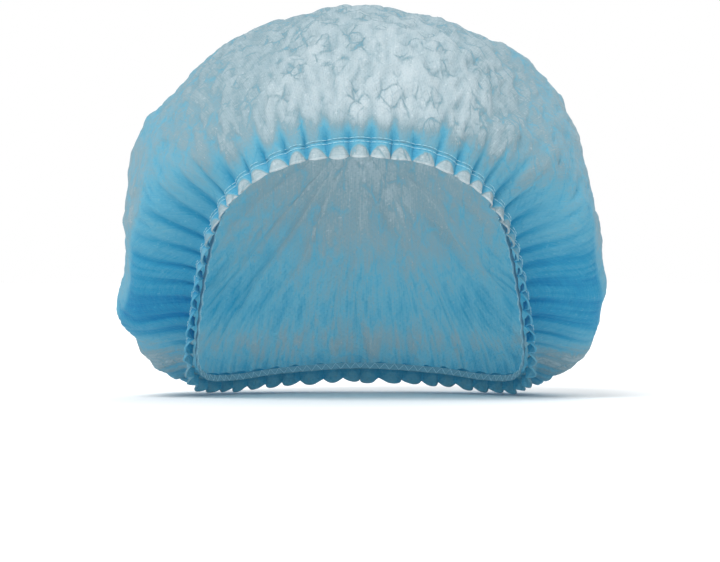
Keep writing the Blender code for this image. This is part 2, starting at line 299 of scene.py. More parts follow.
class NurseCapColours(bpy.types.PropertyGroup):
    """The colours of the cloth by depth, and of the elastic, thread and floor."""

    # The depth that picks these stops also carries painted shade in creases and valleys and painted
    # light, so the deeper stops stand partly for shade.
    pale: colour("Palest cloth", "One smooth ply in full light", (0.660, 0.735, 0.760))
    light: colour("Light cloth", "One ply, slightly gathered", (0.292, 0.425, 0.475))
    middle: colour("Middle cloth", "Gathered cloth", (0.160, 0.475, 0.625))
    strong: colour("Strong cloth", "Closely gathered cloth", (0.040, 0.345, 0.560))
    deep: colour("Deepest cloth", "Many plies in the creases", (0.006, 0.215, 0.470))
    elastic: colour("Elastic", "The covered rubber of the band", (0.190, 0.450, 0.590))
    thread: colour("Thread", "The stitching", (0.360, 0.680, 0.800))
    floor: colour("Floor", "The floor under the cap", (0.900, 0.905, 0.910))


class NurseCapStage(bpy.types.PropertyGroup):
    """The camera, the lights and the floor."""

    camera_side: metres("Camera side", "How far the camera stands to the right", -0.0016)
    camera_distance: metres("Camera distance", "How far the camera stands in front", 1.5900)
    camera_height: metres("Camera height", "The camera's height over the origin", -0.1260)
    lens: FloatProperty(name="Lens", description="Focal length", default=171.7, unit="CAMERA", min=1.0)
    floor_radius: metres("Floor radius", "Radius of the round floor", 60.0)
    floor_gap: metres("Floor gap", "Between the cap's lowest point and the floor", 0.0)
    world_light: strength("World light", "Strength of the light from all round", 0.88)
    key_light: strength("Key light", "Strength of the light from the front", 2.0)
    fill_light: strength("Fill light", "Strength of the light from behind", 0.7)


def shape_of():
    """The cap's shape properties."""
    return bpy.context.scene.nurse_cap_shape


def cloth_of():
    """The cap's cloth properties."""
    return bpy.context.scene.nurse_cap_cloth


def colours_of():
    """The cap's colours."""
    return bpy.context.scene.nurse_cap_colours


# Small curves and noise


def unit(vectors):
    """The vectors of an array, each brought to length one."""
    lengths = np.linalg.norm(vectors, axis=-1, keepdims=True)
    return vectors / np.maximum(lengths, 1e-12)


def ease(values, start, end):
    """0 before start, 1 after end, and a smooth step between them."""
    share = np.clip((values - start) / (end - start), 0.0, 1.0)
    return share * share * (3.0 - 2.0 * share)


def bell(values, width):
    """1 at zero, falling as a bell of this width on both sides."""
    return np.exp(-((values / width) ** 2))


def fade(values, length):
    """1 at zero, dying away over this length."""
    return np.exp(-values / length)


def angle_from(directions, axis):
    """The angle between each direction and an axis."""
    return np.arccos(np.clip(directions @ axis, -1.0, 1.0))


def full_turn(count):
    """Even angles once round, the first at zero."""
    return np.arange(count) / count * 2.0 * math.pi


def line_direction(points):
    """The direction of a closed line at each of its points."""
    return unit(np.roll(points, -1, axis=0) - np.roll(points, 1, axis=0))


def lattice(across, up, wrap, seed):
    """Chance heights at the four corners round each place, and the place between them.

    The lattice has one corner at each whole number, and comes round again after
    wrap corners across.
    """
    low = np.floor(up.min())
    rows = int(np.ceil(up.max()) - low) + 2
    heights = np.random.default_rng(seed).uniform(-1.0, 1.0, (rows, wrap))
    column = np.floor(across).astype(int)
    row = np.floor(up - low).astype(int)
    corners = (
        heights[row, column % wrap],
        heights[row, (column + 1) % wrap],
        heights[row + 1, column % wrap],
        heights[row + 1, (column + 1) % wrap],
    )
    return corners, across - column, up - low - row, (column + row) % 2 == 0


def smooth_noise(across, up, wrap, seed):
    """Chance heights from -1 to 1, joined by smooth steps."""
    (a, b, c, d), x, y, _ = lattice(across, up, wrap, seed)
    x = x * x * (3.0 - 2.0 * x)
    y = y * y * (3.0 - 2.0 * y)
    return (a * (1.0 - x) + b * x) * (1.0 - y) + (c * (1.0 - x) + d * x) * y


def edge_noise(turns, wrap, seed):
    """Chance heights from -1 to 1 along a closed line, joined by smooth steps."""
    return smooth_noise(turns, np.zeros_like(turns), wrap, seed)


def facets(across, up, wrap, seed):
    """Chance heights from -1 to 1, joined by flat triangles, as in crumpled paper.

    Each square of the lattice is cut along one diagonal, and the diagonal turns
    from square to square.
    """
    (a, b, c, d), x, y, even = lattice(across, up, wrap, seed)
    rising = np.where(x > y, a + x * (b - a) + y * (d - b), a + y * (c - a) + x * (d - c))
    falling = np.where(
        x + y < 1.0, a + x * (b - a) + y * (c - a), d + (1.0 - x) * (c - d) + (1.0 - y) * (b - d)
    )
    return np.where(even, rising, falling)


# The edge line and the bag


def edge_control_points(shape):
    """The edge line's own points and hem shares, right half and mirrored left."""
    across, along, down, hem = EDGE_LINE.T
    reach = np.where(along < 0.0, shape.opening_front, shape.opening_back)
    right = (across * shape.opening_half_width, along * reach, -down * shape.opening_drop, hem)
    right = np.stack(right, axis=1)
    left = right[-2:0:-1] * (-1.0, 1.0, 1.0, 1.0)
    points = np.vstack([right, left])
    points[:, 0] += shape.opening_shift
    return points


def closed_spline(points, samples=EDGE_SAMPLES):
    """A smooth closed curve through the points: a cubic between each pair.

    Its slope at a point is half of the way from the point before to the one after.
    """
    count = len(points)
    steps = np.arange(samples) * count / samples
    index = np.floor(steps).astype(int)
    t = (steps - index)[:, None]
    before, start, end, after = (points[(index + k) % count] for k in (-1, 0, 1, 2))
    return (
        start * (2 * t**3 - 3 * t**2 + 1)
        + (end - before) / 2.0 * (t**3 - 2 * t**2 + t)
        + end * (-2 * t**3 + 3 * t**2)
        + (after - start) / 2.0 * (t**3 - t**2)
    )


def edge_curve(shape):
    """The closed edge line, and the length travelled to each of its points."""
    curve = closed_spline(edge_control_points(shape))
    loop = np.vstack([curve, curve[:1]])
    steps = np.linalg.norm(np.diff(loop[:, :3], axis=0), axis=1)
    return loop, np.concatenate([[0.0], np.cumsum(steps)])


def gather_count(shape):
    """The number of gathers that the edge line takes at their pitch."""
    return max(12, round(edge_curve(shape)[1][-1] / shape.gather_pitch))


def edge_frame(shape, count):
    """Points at even steps of the edge line, the ways out and off, and hem shares.

    Out points away from the cap's inside: the gradient of an ellipsoid round the
    opening, made square to the line. Off points across the edge, away from the
    crown, which is where the hem goes.
    """
    loop, travelled = edge_curve(shape)
    wanted = np.arange(count) * travelled[-1] / count
    stepped = np.stack([np.interp(wanted, travelled, loop[:, axis]) for axis in range(4)], axis=1)
    points = stepped[:, :3]
    along = line_direction(points)
    spans = np.array([shape.opening_half_width, shape.opening_front, shape.opening_drop])
    out = (points - (0.0, 0.0, -0.55 * shape.opening_drop)) / spans**2
    out = unit(out - along * np.sum(out * along, axis=1, keepdims=True))
    return points, out, unit(np.cross(along, out)), stepped[:, 3]


def cloth_offset():
    """How far the cloth lies outside the elastic's middle line."""
    return ELASTIC_TO_CLOTH + cloth_of().gather_depth


def puff_heights(directions):
    """The sum of all puffs and dents in each direction, each a bell round its own."""
    turn, lift, spread = np.radians(np.array(PUFFS, float)[:, :3]).T
    level = np.cos(lift)
    peaks = np.stack([level * np.sin(turn), -level * np.cos(turn), np.sin(lift)])
    total = np.zeros(directions.shape[:-1])
    for peak, width, (*_, tall) in zip(peaks.T, spread, PUFFS):
        total += tall * bell(angle_from(directions, peak), width)
    return total


def bag_radius(shape, directions):
    """The bag's radius in each direction: a superellipsoid with its puffs.

    Its power is 2.12 above the widest level and turns to 3.2 below it, so that
    the bag hangs full at its sides.
    """
    reach = np.where(directions[..., 1] < 0.0, shape.front_reach, shape.back_reach)
    height = np.where(directions[..., 2] >= 0.0, shape.rise, shape.drop)
    x = np.abs(directions[..., 0]) / shape.half_width
    y = np.abs(directions[..., 1]) / reach
    z = np.abs(directions[..., 2]) / height
    power = 2.12 + 1.08 * ease(-directions[..., 2], 0.0, 0.40)
    radius = (x**power + y**power + z**power) ** (-1.0 / power)
    return radius + shape.puff_height * puff_heights(directions)


def bag_surface(shape, columns, ways):
    """The smooth bag on a grid of ways from the edge to the pole by columns.

    A column's direction turns from the edge line to the pole, and its point lies
    on the bag in that direction. Near the edge it leaves the elastic square to
    it, by a bell of the length travelled. Given back are the grid, the pull that
    holds the folds square to the edge, the length travelled from the edge, the
    length left to the pole, and the pole's point.
    """
    points, out, off, _ = edge_frame(shape, columns)
    middle = np.array([0.0, shape.middle_back, -shape.rise])
    start = points + out * cloth_offset() - middle
    first = unit(start)
    pole = np.array([0.0, math.cos(shape.pole_lift), math.sin(shape.pole_lift)])
    turn = angle_from(first, pole)
    ways = np.asarray(ways)[:, None]
    directions = np.sin((1.0 - ways) * turn)[..., None] * first
    directions = unit(directions + np.sin(ways * turn)[..., None] * pole)
    bag = middle + directions * bag_radius(shape, directions)[..., None]
    travelled = ways * turn[None] * shape.half_width
    left = (1.0 - ways) * turn[None] * shape.half_width
    near = bell(travelled, SQUARE_REACH)[..., None]
    straight = (middle + start)[None] - off[None] * travelled[..., None]
    tip = middle + pole * float(bag_radius(shape, pole))
    return near * straight + (1.0 - near) * bag, near * out[None], travelled, left, tip


def grid_normals(grid):
    """The direction out of a closed band of points, rows by columns."""
    across = np.roll(grid, -1, axis=1) - np.roll(grid, 1, axis=1)
    return unit(np.cross(across, np.gradient(grid, axis=0)))


# The folds


def gather_turns(shape, cloth, steps):
    """Turns along the edge, one a gather, at so many steps a gather.

    The first are even. The second are drawn together and apart by chance, so
    that some gathers are narrow and others wide.
    """
    count = gather_count(shape)
    even = np.arange(count * steps) / steps
    return count, even, even + 0.19 * edge_noise(even, count, cloth.seed + CHANCE["widths"])


def gather_fold(turns, count, seed):
    """The gathers: broad round crests and sharp narrow valleys, from -1 to 1.

    The crest is a power of a cosine's size, and its height comes and goes from
    one gather to the next.
    """
    beat = 0.78 + 0.22 * edge_noise(turns, count, seed)
    return (2.0 * np.abs(np.cos(math.pi * turns)) ** 0.75 - 1.0) * beat


def valley(turns, sharpness):
    """1 in the gathers' valleys and 0 on their crests, narrower for more sharpness."""
    return (1.0 - np.abs(np.cos(math.pi * turns))) ** sharpness


def pleats(turns, power, middle):
    """Round pleats with sharp creases: a power of a sine's size, less its middle."""
    return np.abs(np.sin(math.pi * turns)) ** power - middle


def pleat_cells(turns, up, wrap, seed):
    """Short staggered pleats: rows of puffs parted by upright creases.

    The creases of a row wander by chance. Rows follow each other up the cloth,
    each half a puff aside from the last, and one fades as the next comes in.
    """
    total = np.zeros_like(up)
    weights = np.zeros_like(up)
    for step in (0, 1):
        row = np.floor(up) + step
        aside = 0.5 * (row % 2) + 0.22 * smooth_noise(turns, row * 3.7, wrap, seed)
        height = 0.62 + 0.38 * smooth_noise(turns, row * 5.3, wrap, seed + 1)
        weight = np.clip(1.0 - np.abs(up - row), 0.0, 1.0) ** 1.5
        total += weight * pleats(turns + aside, 0.6, 0.62) * height
        weights += weight
    return total / weights * 1.6


def crumples(turns, up, wrap, seed, octaves=3):
    """Crumpled facets in several sizes, each half as wide as the last and 0.62 as high."""
    total = np.zeros_like(up)
    for octave in range(octaves):
        scale = 2.0**octave
        cells = int(round(wrap * scale))
        bend = 0.35 * smooth_noise(turns * scale, up * scale, cells, seed + 10 + octave)
        drift = 0.35 * smooth_noise(turns * scale, up * scale + 0.5, cells, seed + 20 + octave)
        total += facets(turns * scale + bend, up * scale + drift, cells, seed + octave) * 0.62**octave
    return total


class CrownCloth:
    """The crown's cloth, worked out once: its points, colour depths and places.

    Its arrays run row by row from the elastic to the pole. up is the length of
    cloth from the elastic, flat the place on the round cut, and room the share
    of a gather's full width. low is 1 for a column that starts low on the cap,
    and back is 1 for one that starts at the back.
    """

    def __init__(self, shape, cloth):
        self.cloth = cloth
        self.count, self.even, self.turns = gather_turns(shape, cloth, cloth.columns_per_gather)
        ways = (np.arange(cloth.crown_rows) / cloth.crown_rows) ** 1.25
        base, pull, self.up, left, self.tip = bag_surface(shape, len(self.even), ways)
        angle = self.even / self.count * 2.0 * math.pi
        self.flat = np.stack([left * np.cos(angle), left * np.sin(angle)], axis=-1)
        width = np.linalg.norm(np.roll(base, -1, axis=1) - np.roll(base, 1, axis=1), axis=2)
        self.room = np.minimum(1.0, width * cloth.columns_per_gather / (2.0 * shape.gather_pitch))
        self.low = ease(-base[0, :, 2], *LEVELS["low"])[None]
        self.back = ease(base[0, :, 1], *BACK_SPAN)[None]
        self.heights = self.fold_heights()
        normals = unit(grid_normals(base) + 3.0 * pull)
        along = unit(np.roll(base, -1, axis=1) - base)
        self.points = base + normals * self.heights[..., None] + along * self.lean()[..., None]
        self.depths = self.colour_depths(base)

    def seed(self, kind):
        """The start of one kind of chance."""
        return self.cloth.seed + CHANCE[kind]

    def bends(self, kind, aside=0.0):
        """Smooth chance from -1 to 1, with the bends of its kind."""
        wrap, length = BENDS[kind]
        across = (self.even + aside) / self.count * wrap
        return smooth_noise(across, self.up / length, wrap, self.seed(kind))

    def fold_heights(self):
        """The height of the cloth over the smooth bag, the sum of all its folds."""
        cloth, up = self.cloth, self.up
        chance = edge_noise(self.even, self.count, self.seed("reach"))
        reach = (GATHER_REACH - LOW_REACH_LOSS * self.low) * (1.0 + 0.45 * chance)
        reach = reach * (1.0 + 1.2 * self.back)
        wander = 0.45 * self.bends("wander") * ease(up, *STARTS["wander"])
        folds = self.gather_heights(reach)
        branches = pleats(3.0 * self.turns + wander, 0.7, 0.6)
        folds += BRANCH_DEPTH * branches * ease(up, *STARTS["branches"]) * bell(up, reach * 1.5)
        away = ease(up, *STARTS["pleats"])
        roomy = ease(self.room, 0.60, 1.00)
        cells = pleat_cells(self.turns + wander, up / cloth.cell_length, self.count, self.seed("cells"))
        folds += cloth.cell_depth * cells * away * self.calm("cells") * roomy
        folds += cloth.pleat_depth * self.fine_pleats(wander) * away * roomy
        folds += cloth.drape_depth * self.drapes(wander)
        beside, ahead = np.moveaxis(self.flat, -1, 0) / cloth.crumple_size
        crumple = crumples(beside, ahead, FLAT_WRAP, self.seed("crumples"))
        folds += cloth.crumple_depth * (crumple * self.calm("crumples") * (1.35 - 0.35 * roomy)) * away
        wide = facets(beside * 0.40, ahead * 0.40, FLAT_WRAP, self.seed("facets"))
        return folds + FACET_DEPTH * wide * ease(up, *STARTS["facets"])

    def calm(self, kind):
        """1, but less on low columns, where the gathers pull the cloth straight."""
        return 1.0 - 0.60 * self.low * fade(self.up, FADES[kind])

    def gather_heights(self, reach):
        """The gathers: high by the elastic, with a low swell that lasts further up."""
        lasting = 0.05 * self.low * (1.0 + 4.0 * self.back) * fade(self.up, FADES["lasting"])
        share = bell(self.up, reach) + lasting * ease(self.up, *STARTS["lasting"])
        fold = gather_fold(self.turns, self.count, self.cloth.seed)[None]
        return self.cloth.gather_depth * fold * share

    def fine_pleats(self, wander):
        """Four pleats to a gather that come and go, strongest on low columns."""
        come_and_go = 0.6 + 0.4 * smooth_noise(
            self.even, self.up / 0.030, self.count, self.seed("fine pleats")
        )
        share = (0.15 + 0.85 * self.low * fade(self.up, FADES["fine pleats"])) * come_and_go
        return pleats(4.0 * self.turns + wander, 0.8, 0.6) * share

    def drapes(self, wander):
        """Long folds on low columns and at the back: ridges where the bends cross zero."""
        ridge = 1.0 - 2.0 * np.abs(self.bends("drapes", 0.8 * wander))
        fading = ease(self.up, *STARTS["drapes"]) * ease(self.room, 0.15, 0.65)
        return (ridge - 0.3) * fading * np.maximum(self.low * 0.6, self.back)

    def lean(self):
        """How far each fold leans over along the edge, so that pleats lap a little."""
        lap = np.sin(2.0 * math.pi * self.turns)[None] * bell(self.up, LAP_REACH)
        return LEAN_DEPTH * lap * (0.3 + 0.7 * self.bends("lean")) * self.room

    def colour_depths(self, base):
        """The depth of the colour, 0 pale to 1 deep.

        It follows the height of the place on the bag, deeper low on the sides and paler
        again at the lowest lobes, there as painted light coming through them from behind.
        It pales over the front of the crown, partly as painted light where the cloth faces
        the front and partly for its flatter cloth with fewer plies, and at the back; on the
        outermost sides it pales as a painted sheen. It rises in a band with spikes from the
        elastic, the spikes partly painted shade in the gathers' valleys, and deepens in
        every crease as painted shade.
        """
        up, low = self.up, self.low
        # Paler again at the lowest levels: painted light coming through the lobes from behind.
        level = np.interp(-base[..., 2], SIDE_LEVELS, SIDE_DEPTHS)
        lowest = ease(-base[..., 2], *LEVELS["lowest"])
        level = level + (0.58 - level) * lowest * self.back
        # The front patch is partly painted light on the cloth that faces the front.
        ways = unit(base - BAG_CENTRE)
        front, behind = (
            bell(angle_from(ways, unit(np.array(way))), PALE_SPREAD) for way in (PALE_FRONT, PALE_BACK)
        )
        depth = level * (1.0 - front) * (1.0 - 0.60 * behind)
        chance = edge_noise(self.even * 2.0, self.count * 2, self.seed("spikes"))
        rise = (BAND_RISE + LOW_BAND_RISE * low) * (1.0 + 0.40 * chance)
        # The spikes deepen the gathers' valleys: partly the plies stacked there, partly painted shade.
        spike = valley(self.turns, 0.9)[None]
        under = (1.0 - 0.85 * lowest * (1.0 - self.back)) * (1.0 - 0.35 * low)
        band = (0.30 * np.exp(-((up / rise) ** 2.4)) + 0.09 * fade(up, FADES["band"])) * under
        spikes = 0.24 * spike * bell(up, rise * (0.6 + 1.1 * spike)) * under
        depth = depth + (1.0 - depth) * np.clip(band + spikes, 0.0, 0.92)
        # Painted sheen: paler where the cloth turns to face the sides, at the outlines seen from the
        # front.
        depth = depth * (1.0 - 0.42 * ease(np.abs(grid_normals(base)[..., 0]), 0.80, 0.99))
        beside, ahead = np.moveaxis(self.flat, -1, 0) / BLOTCH_SIZE
        blotch = smooth_noise(beside, ahead, FLAT_WRAP, self.seed("blotches"))
        # The last term is painted shade in the folds' valleys and painted light on their crests.
        return np.clip(depth + 0.045 * blotch + self.painted_crease_shade(), 0.0, 1.0)

    def painted_crease_shade(self):
        """Painted shade and light: deeper colour in the valleys and paler on the crests, by the folds'
        own curve, partly also the plies that stack in the valleys.
        """
        heights = self.heights
        spread = np.zeros_like(heights)
        for reach in (1, 2, 4):
            beside = np.roll(heights, reach, axis=1) + np.roll(heights, -reach, axis=1)
            spread += beside / 2.0 - heights
        return np.clip(spread / CREASE_HEIGHT, -0.5, 1.0) * (0.048 + 0.050 * self.low)


# Meshes


def face_corners(grid, flip):
    """The four corners of each face between the rows and columns of a grid."""
    corners = np.stack([grid[:-1, :-1], grid[:-1, 1:], grid[1:, 1:], grid[1:, :-1]], axis=2)
    return corners[:, :, ::-1] if flip else corners


def grid_object(name, points, tip=None, closed_rows=False, uv=None, attributes=None, flip=False):
    """An object whose mesh is a grid of points, closed across its columns.

    Faces join each row to the next, the last one to the tip where one is given,
    or back to the first where the rows are closed too. The texture map is uv, in
    metres, with one more column than the points, and one more row where the rows
    are closed.
    """
    rows, columns = points.shape[:2]
    index = np.arange(rows * columns).reshape(rows, columns)
    closed = np.pad(index, ((0, int(closed_rows)), (0, 1)), mode="wrap")
    faces = face_corners(closed, flip).reshape(-1, 4)
    corners = faces.ravel()
    totals = np.full(len(faces), 4)
    coordinates = points.reshape(-1, 3)
    if tip is not None:
        coordinates = np.vstack([coordinates, tip])
        fan = np.stack([closed[-1, :-1], closed[-1, 1:], np.full(columns, rows * columns)], axis=-1)
        corners = np.concatenate([corners, fan.ravel()])
        totals = np.concatenate([totals, np.full(columns, 3)])
    mesh = bpy.data.meshes.new(name)
    mesh.vertices.add(len(coordinates))
    mesh.vertices.foreach_set("co", coordinates.ravel())
    mesh.loops.add(len(corners))
    mesh.loops.foreach_set("vertex_index", corners)
    mesh.polygons.add(len(totals))
    mesh.polygons.foreach_set("loop_start", np.concatenate([[0], np.cumsum(totals)[:-1]]))
    mesh.update(calc_edges=True)
    mesh.shade_smooth()
    if uv is not None:
        fill_uv(mesh, uv, tip is not None, flip)
    for label, values in (attributes or {}).items():
        values = values.ravel()
        if tip is not None:
            values = np.append(values, values[-columns:].mean())
        layer = mesh.attributes.new(label, "FLOAT", "POINT")
        layer.data.foreach_set("value", values)
    if mesh.validate():
        raise RuntimeError(f"{name}: the mesh had faults")
    created = bpy.data.objects.new(name, mesh)
    bpy.context.scene.collection.objects.link(created)
    return created


def fill_uv(mesh, uv, tipped, flip):
    """Writes the texture map, corner by corner in the order of the faces."""
    flat = face_corners(uv, flip).reshape(-1, 2)
    if tipped:
        last = uv[-1, :-1]
        middle = np.broadcast_to(last.mean(axis=0), last.shape)
        fan = np.stack([last, uv[-1, 1:], middle], axis=1)
        flat = np.vstack([flat, fan.reshape(-1, 2)])
    layer = mesh.uv_layers.new(name="cloth")
    layer.data.foreach_set("uv", flat.ravel())


def cloth_map(shape, up):
    """The texture map of a band: metres along the edge by metres up the cloth.

    It has one more column than the band, so that it doesn't run back at the join.
    """
    columns = up.shape[1]
    across = np.arange(columns + 1) / columns * gather_count(shape) * shape.gather_pitch
    closed_up = np.concatenate([up, up[:, :1]], axis=1)
    return np.stack([np.broadcast_to(across, closed_up.shape), closed_up], axis=-1)


# Materials


class Weaver:
    """Adds nodes to a material or world and links them, for the functions below."""

    def __init__(self, owner):
        self.owner = owner
        owner.use_nodes = True
        self.tree = owner.node_tree
        self.tree.nodes.clear()

    def add(self, kind, inputs=None, **settings):
        """A node with settings on it, and values or links on its inputs."""
        made = self.tree.nodes.new(kind)
        for key, value in settings.items():
            setattr(made, key, value)
        for key, value in (inputs or {}).items():
            if isinstance(value, bpy.types.NodeSocket):
                self.tree.links.new(value, made.inputs[key])
            else:
                made.inputs[key].default_value = value
        return made

    def math(self, operation, first, second, clamp=False):
        """The result of a sum on two values."""
        made = self.add("ShaderNodeMath", {0: first, 1: second}, operation=operation, use_clamp=clamp)
        return made.outputs[0]

    def layers(self, value, *layers):
        """The value plus a share of each layer, or less it where the share is negative."""
        for layer, share in layers:
            value = self.math("ADD", value, self.math("MULTIPLY", layer, share))
        return value

    def over(self, value, start, slope):
        """0 up to the start, and a rise at the slope from there up to 1."""
        return self.math("MULTIPLY", self.math("SUBTRACT", value, start), slope, clamp=True)

    def falling(self, value, slope):
        """1 where the value is 0, and down from there at the slope to 0."""
        return self.math("SUBTRACT", 1.0, self.math("MULTIPLY", value, slope), clamp=True)

    def ramp(self, factor, stops):
        """A colour ramp through the stops, each a place and a colour."""
        made = self.add("ShaderNodeValToRGB", {"Fac": factor})
        elements = made.color_ramp.elements
        while len(elements) < len(stops):
            elements.new(0.5)
        for element, (place, value) in zip(elements, stops):
            element.position = place
            element.color = (*value, 1.0)
        return made.outputs["Color"]

    def place(self, source, scale, turn=0.0):
        """Coordinates, turned and stretched."""
        inputs = {"Vector": source, "Rotation": (0.0, 0.0, turn), "Scale": scale}
        return self.add("ShaderNodeMapping", inputs).outputs["Vector"]

    def noise(self, vector, scale, detail=3.0, roughness=0.55, distortion=0.0):
        """Cloudy noise from 0 to 1."""
        inputs = {"Vector": vector, "Scale": scale, "Detail": detail}
        inputs |= {"Roughness": roughness, "Distortion": distortion}
        return self.add("ShaderNodeTexNoise", inputs).outputs["Fac"]

    def bump(self, height, strength, distance):
        """The surface's direction with a relief of this height laid on."""
        inputs = {"Height": height, "Strength": strength, "Distance": distance}
        return self.add("ShaderNodeBump", inputs).outputs["Normal"]

    def surface(self, **inputs):
        """The main shader. Its inputs are named with _ for each space."""
        named = {key.replace("_", " "): value for key, value in inputs.items()}
        return self.add("ShaderNodeBsdfPrincipled", named).outputs["BSDF"]

    def finish(self, shader):
        """Puts the shader on the material's output and gives the material back."""
        self.add("ShaderNodeOutputMaterial", {"Surface": shader})
        return self.owner


def dimmed(bright, share):
    """A colour brought down to a share of its light."""
    return tuple(share * value for value in bright)


def fibre_web(weaver, cloth_uv):
    """Fine fibres laid every way: three noises stretched along lines, the brightest of each."""
    strands = None
    for turn, along, across in ((0.35, 90.0, 2300.0), (1.45, 110.0, 2600.0), (-0.75, 100.0, 2100.0)):
        vector = weaver.place(cloth_uv, (along, across, 1.0), turn)
        strand = weaver.noise(vector, 1.0, detail=2.0, distortion=0.6)
        strands = strand if strands is None else weaver.math("MAXIMUM", strands, strand)
    return strands


def bond_points(weaver, cloth_uv, pitch=0.0016):
    """The small pressed points that bond the web: 1 in each point, 0 between them."""
    vector = weaver.place(cloth_uv, (1.0 / pitch, 0.7 / pitch, 1.0), math.radians(45.0))
    inputs = {"Vector": vector, "Scale": 1.0, "Randomness": 0.12}
    apart = weaver.add("ShaderNodeTexVoronoi", inputs, feature="F1").outputs["Distance"]
    return weaver.falling(apart, 3.2)


def crease_net(weaver, place, across, up, turn):
    """Thin broken upright creases: the borders between bent cells, kept where a cloud is thick."""
    bend = weaver.add("ShaderNodeTexNoise", {"Vector": place, "Scale": 80.0, "Detail": 2.0})
    cells = weaver.place(place, (1.0 / across, 1.0 / across, 1.0 / up), turn)
    inputs = {0: bend.outputs["Color"], 1: (0.9, 0.9, 0.3), 2: cells}
    bent = weaver.add("ShaderNodeVectorMath", inputs, operation="MULTIPLY_ADD").outputs[0]
    inputs = {"Vector": bent, "Scale": 1.0}
    border = weaver.add("ShaderNodeTexVoronoi", inputs, feature="DISTANCE_TO_EDGE").outputs["Distance"]
    cloud = weaver.noise(weaver.place(place, (130.0, 130.0, 80.0)), 1.0, detail=1.0)
    return weaver.math("MULTIPLY", weaver.falling(border, 9.0), weaver.over(cloud, 0.42, 6.0))


def cloth_material(name, colours, see_through):
    """Non-woven cloth: its colour runs from pale to deep with the depth attribute.

    Clouds of thicker and thinner web, fibres, bond points and creases vary the colour
    and the relief. The creases darken the colour as painted shade, and small pale dots
    lighten it as painted highlights. Creases show on slack, pale cloth, and part of
    the light comes through from the other side.
    """
    weaver = Weaver(bpy.data.materials.new(name))
    place = weaver.add("ShaderNodeTexCoord").outputs
    depth = weaver.add("ShaderNodeAttribute", attribute_name="depth").outputs["Fac"]
    clouds = weaver.noise(place["Object"], 95.0, detail=4.0)
    fibres = fibre_web(weaver, place["UV"])
    points = bond_points(weaver, place["UV"])
    long_creases = crease_net(weaver, place["Object"], across=0.0062, up=0.0230, turn=0.15)
    short_creases = crease_net(weaver, place["Object"], across=0.0036, up=0.0090, turn=-0.5)
    creases = weaver.layers(long_creases, (short_creases, 0.4))
    creases = weaver.math("MULTIPLY", creases, weaver.falling(depth, 1.35))
    # Painted highlights: sparse pale dots that stand in for glints on the crinkles.
    painted_glints = weaver.over(weaver.noise(place["Object"], 620.0, detail=1.0), 0.64, 9.0)
    # In this shade the creases add painted shade along their lines and the glints painted highlights.
    shade = weaver.layers(
        depth,
        (weaver.math("SUBTRACT", clouds, 0.5), 0.12),
        (creases, 0.20),
        (painted_glints, -0.09),
        (weaver.math("SUBTRACT", fibres, 0.62), -0.34),
        (points, 0.05),
    )
    stops = (0.00, "pale"), (0.29, "light"), (0.50, "middle"), (0.76, "strong"), (1.00, "deep")
    base = weaver.ramp(shade, [(spot, tuple(getattr(colours, label))) for spot, label in stops])
    crinkle = weaver.noise(place["Object"], 420.0, detail=3.0, roughness=0.6)
    relief = weaver.math("MULTIPLY", fibres, 0.8)
    relief = weaver.layers(relief, (points, -0.7), (crinkle, 1.6), (creases, -1.1))
    normal = weaver.bump(relief, 0.75, 0.00040)
    cloth = weaver.surface(
        Base_Color=base,
        Roughness=weaver.layers(0.54, (fibres, 0.26)),
        Normal=normal,
        Specular_IOR_Level=0.22,
        Sheen_Weight=0.12,
        Sheen_Roughness=0.45,
    )
    through = weaver.add("ShaderNodeBsdfTranslucent", {"Color": base, "Normal": normal}).outputs["BSDF"]
    mixed = weaver.add("ShaderNodeMixShader", {0: see_through, 1: cloth, 2: through}).outputs["Shader"]
    return weaver.finish(mixed)


def elastic_material(colours):
    """Covered rubber: fine slanting yarns over ribs, matt with a little sheen."""
    weaver = Weaver(bpy.data.materials.new("covered elastic"))
    place = weaver.add("ShaderNodeTexCoord").outputs
    yarn_place = weaver.place(place["UV"], (1400.0, 1400.0, 1.0), 0.8)
    inputs = {"Vector": yarn_place, "Scale": 1.0, "Distortion": 0.8}
    yarns = weaver.add("ShaderNodeTexWave", inputs).outputs["Fac"]
    clouds = weaver.noise(place["Object"], 160.0)
    tone = weaver.layers(0.0, (yarns, 0.6), (clouds, 0.4))
    bright = tuple(colours.elastic)
    shader = weaver.surface(
        Base_Color=weaver.ramp(tone, [(0.15, dimmed(bright, 0.72)), (0.75, bright)]),
        Roughness=0.62,
        Normal=weaver.bump(yarns, 0.5, 0.00012),
        Sheen_Weight=0.15,
        Specular_IOR_Level=0.4,
    )
    return weaver.finish(shader)


def thread_material(colours):
    """Twisted thread: fine slanting twist with a soft shine."""
    weaver = Weaver(bpy.data.materials.new("stitching thread"))
    place = weaver.add("ShaderNodeTexCoord").outputs
    twist_place = weaver.place(place["UV"], (3200.0, 900.0, 1.0), 0.6)
    twist = weaver.add("ShaderNodeTexWave", {"Vector": twist_place, "Scale": 1.0}).outputs["Fac"]
    bright = tuple(colours.thread)
    shader = weaver.surface(
        Base_Color=weaver.ramp(twist, [(0.1, dimmed(bright, 0.78)), (0.8, bright)]),
        Roughness=0.45,
        Normal=weaver.bump(twist, 0.4, 0.00006),
        Sheen_Weight=0.1,
    )
    return weaver.finish(shader)


def floor_material(colours):
    """Matt pale board with a barely seen unevenness."""
    weaver = Weaver(bpy.data.materials.new("pale floor"))
    place = weaver.add("ShaderNodeTexCoord").outputs
    clouds = weaver.noise(place["Object"], 9.0)
    bright = tuple(colours.floor)
    base = weaver.ramp(clouds, [(0.2, dimmed(bright, 0.985)), (0.8, bright)])
    return weaver.finish(weaver.surface(Base_Color=base, Roughness=0.9))


# Pieces


